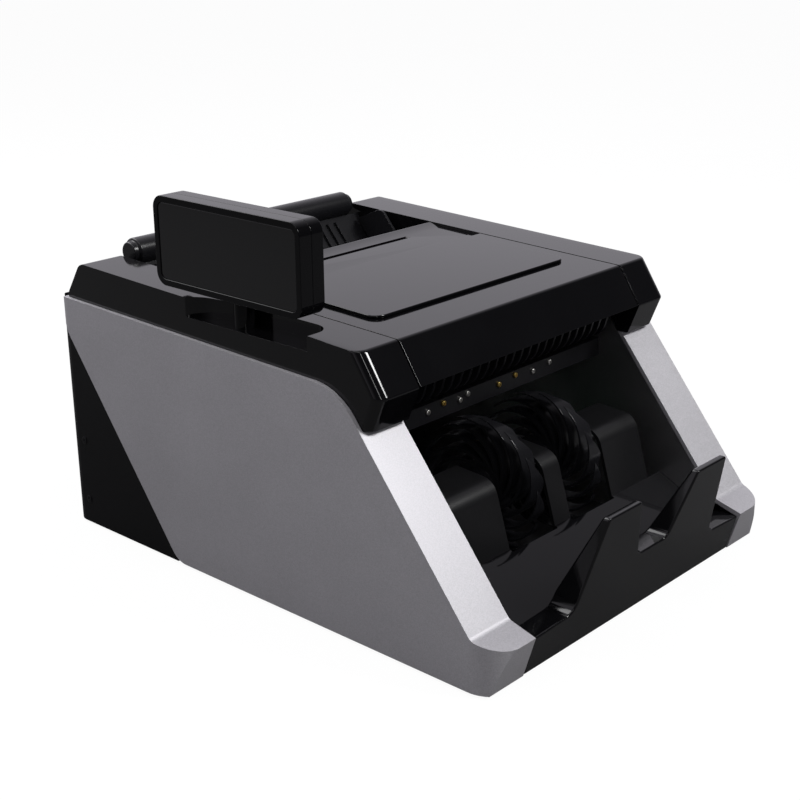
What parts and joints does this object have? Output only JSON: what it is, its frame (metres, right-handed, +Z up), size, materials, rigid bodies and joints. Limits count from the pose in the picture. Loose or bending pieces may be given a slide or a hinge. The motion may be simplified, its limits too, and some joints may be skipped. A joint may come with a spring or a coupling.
{
  "type": "banknote counting machine",
  "caption": "Table-top banknote counter with silver side panels, sloping hopper, hinged lid, finger wheels over a stacker pocket, and a display head that swivels on a neck.",
  "frame": {"origin": "on the table plane, under the middle of the whole machine", "axes": "+X to the right seen from the front, +Y from the front to the rear, +Z up"},
  "size_m": [0.28, 0.382, 0.238],
  "materials": {
    "silver_casing": "moulded plastic with metallic silver paint, satin",
    "black_casing": "gloss black moulding",
    "black_satin": "satin black moulding",
    "wheel_plastic": "satin black moulding",
    "rocker_plastic": "gloss black moulding",
    "smoked_window": "smoked clear sheet, polished",
    "steel": "plain steel, brushed",
    "screw_plate": "bright zinc plate",
    "bush_brass": "turned brass",
    "motor_case": "black enamel",
    "pulley_metal": "turned",
    "roller_rubber": "ground rubber",
    "belt_rubber": "matt",
    "foot_rubber": "matt",
    "circuit_board": "green solder mask"
  },
  "bodies": {
    "chassis": {"base_tray": "black_satin", "board_standoffs": "steel", "casing_screws": "screw_plate", "drive_belt": "belt_rubber", "feed_belt": "belt_rubber", "front_fascia": "black_satin", "guide_rod": "steel", "hopper_bar": "black_satin", "hopper_front_strip": "black_casing", "hopper_ramp": "black_satin", "left_frame_plate": "steel", "left_side_panel": "silver_casing", "left_top_rail": "black_casing", "main_board": "circuit_board", "main_motor": "motor_case", "note_comb": "black_satin", "pickup_belt": "belt_rubber", "power_inlet": "black_satin", "power_supply": "steel", "rear_housing": "black_casing", "retard_rollers": "roller_rubber", "retard_shaft": "steel", "right_frame_plate": "steel", "right_side_panel": "silver_casing", "right_top_rail": "black_casing", "rubber_feet": "foot_rubber", "sensor_bar": "black_satin", "sensor_screws": "screw_plate", "shaft_bushes": "bush_brass", "stacker_back_plate": "black_satin", "stacker_belt": "belt_rubber", "stacker_floor": "black_satin", "stacker_motor": "motor_case", "switch_bezel": "black_satin"},
    "lid": {"lid_shell": "black_casing", "lid_panel": "black_casing", "lid_hinge_pins": "steel"},
    "display": {"display_neck": "black_casing", "display_rear_shell": "black_casing", "display_bezel": "black_casing", "display_window": "smoked_window", "display_board": "circuit_board"},
    "feed": {"feed_shaft": "steel", "feed_rollers": "roller_rubber"},
    "pickup": {"pickup_shaft": "steel", "pickup_rollers": "roller_rubber"},
    "exit": {"exit_shaft": "steel", "exit_rollers": "roller_rubber"},
    "pinch": {"pinch_shaft": "steel", "pinch_rollers": "roller_rubber"},
    "main_drive": {"main_motor_pulley": "pulley_metal"},
    "stacker": {"stacker_shaft": "steel", "left_stacker_wheel": "wheel_plastic", "right_stacker_wheel": "wheel_plastic"},
    "stacker_drive": {"stacker_motor_pulley": "pulley_metal"},
    "left_guide": {"left_note_guide": "black_satin"},
    "right_guide": {"right_note_guide": "black_satin"},
    "rocker": {"switch_rocker": "rocker_plastic"}
  },
  "joints": [
    {"name": "lid_hinge", "type": "hinge", "parent": "chassis", "child": "lid", "pos_m": [0, 0.03526, 0.17531], "axis": [-1, 0, 0], "range_deg": [0, 75]},
    {"name": "display_swivel", "type": "hinge", "parent": "chassis", "child": "display", "pos_m": [-0.1285, 0.01959, 0.16679], "axis": [0, 0, 1], "range_deg": [-90, 180]},
    {"name": "feed_spin", "type": "hinge", "parent": "chassis", "child": "feed", "pos_m": [0, 0.0556, 0.0811], "axis": [1, 0, 0], "continuous": true},
    {"name": "pickup_spin", "type": "hinge", "parent": "chassis", "child": "pickup", "pos_m": [0, 0.0976, 0.0891], "axis": [1, 0, 0], "continuous": true},
    {"name": "exit_spin", "type": "hinge", "parent": "chassis", "child": "exit", "pos_m": [0, -0.02001, 0.102], "axis": [1, 0, 0], "continuous": true},
    {"name": "pinch_spin", "type": "hinge", "parent": "chassis", "child": "pinch", "pos_m": [0, -0.02001, 0.1225], "axis": [1, 0, 0], "continuous": true},
    {"name": "main_drive_spin", "type": "hinge", "parent": "chassis", "child": "main_drive", "pos_m": [0, 0.1096, 0.045], "axis": [1, 0, 0], "continuous": true},
    {"name": "stacker_spin", "type": "hinge", "parent": "chassis", "child": "stacker", "pos_m": [0, -0.07901, 0.064], "axis": [1, 0, 0], "continuous": true},
    {"name": "stacker_drive_spin", "type": "hinge", "parent": "chassis", "child": "stacker_drive", "pos_m": [0, -0.01501, 0.03], "axis": [1, 0, 0], "continuous": true},
    {"name": "left_guide_slide", "type": "slide", "parent": "chassis", "child": "left_guide", "axis": [1, 0, 0], "range_m": [0, 0.035]},
    {"name": "right_guide_slide", "type": "slide", "parent": "chassis", "child": "right_guide", "axis": [-1, 0, 0], "range_m": [0, 0.035]},
    {"name": "rocker_tilt", "type": "hinge", "parent": "chassis", "child": "rocker", "pos_m": [0.055, 0.184, 0.032], "axis": [0, 0, 1], "range_deg": [-8, 8]}
  ],
  "couplings": [
    {"joint": "pickup_spin", "follows": "feed_spin", "ratio": 1.2},
    {"joint": "exit_spin", "follows": "feed_spin", "ratio": 1.3333},
    {"joint": "pinch_spin", "follows": "feed_spin", "ratio": -2},
    {"joint": "main_drive_spin", "follows": "feed_spin", "ratio": 2},
    {"joint": "stacker_drive_spin", "follows": "stacker_spin", "ratio": 2.3333}
  ]
}
